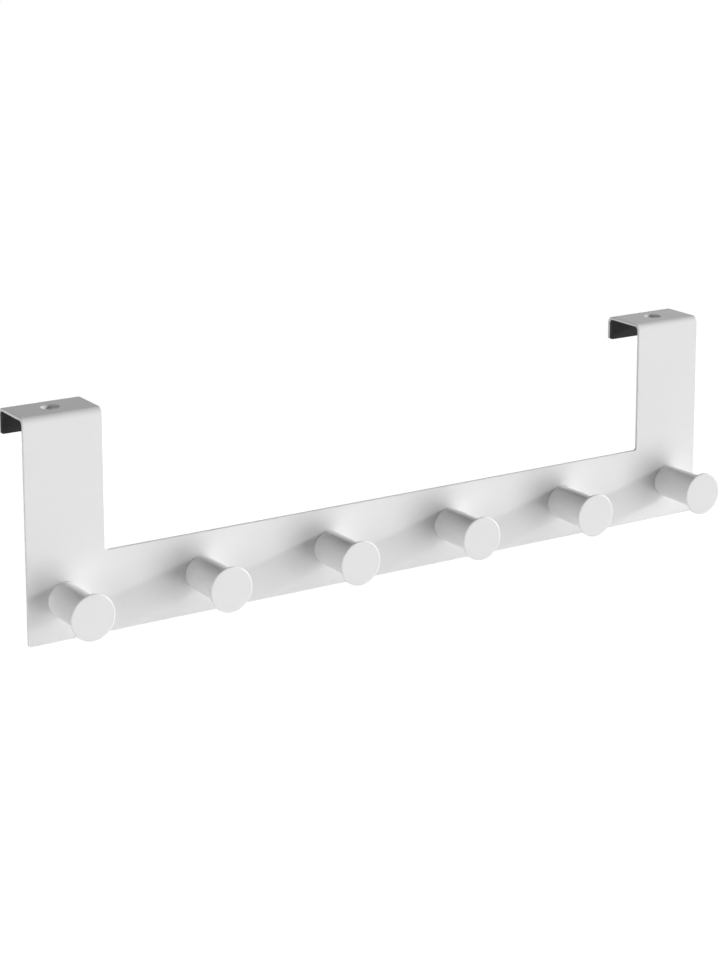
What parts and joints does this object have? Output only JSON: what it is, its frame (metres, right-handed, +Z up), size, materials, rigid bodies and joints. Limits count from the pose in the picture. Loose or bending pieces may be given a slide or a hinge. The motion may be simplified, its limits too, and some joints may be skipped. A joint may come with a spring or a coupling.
{
  "type": "over door hook",
  "caption": "Folded sheet steel rack that hooks over the top of a door, with a long rail, legs at its ends, and round pegs with wide thin heads for coats.",
  "frame": {"origin": "midway between the two screw holes, on the underside of the folded tops, which is the plane of the door's top edge", "axes": "+X along the rail to the right as seen from the room, -Y out of the door towards the room, +Z up"},
  "size_m": [0.4, 0.0575, 0.11],
  "materials": {
    "sheet_coat": "matt powder coat",
    "peg_coat": "matt powder coat",
    "zinc_steel": "bright zinc plate",
    "black_foam": "closed-cell foam"
  },
  "bodies": {
    "root": {"hanger_plate": "sheet_coat", "peg_1": "peg_coat", "peg_2": "peg_coat", "peg_3": "peg_coat", "peg_4": "peg_coat", "peg_5": "peg_coat", "peg_6": "peg_coat", "peg_screws": "zinc_steel", "lip_pad_left": "black_foam", "lip_pad_right": "black_foam"}
  },
  "joints": []
}
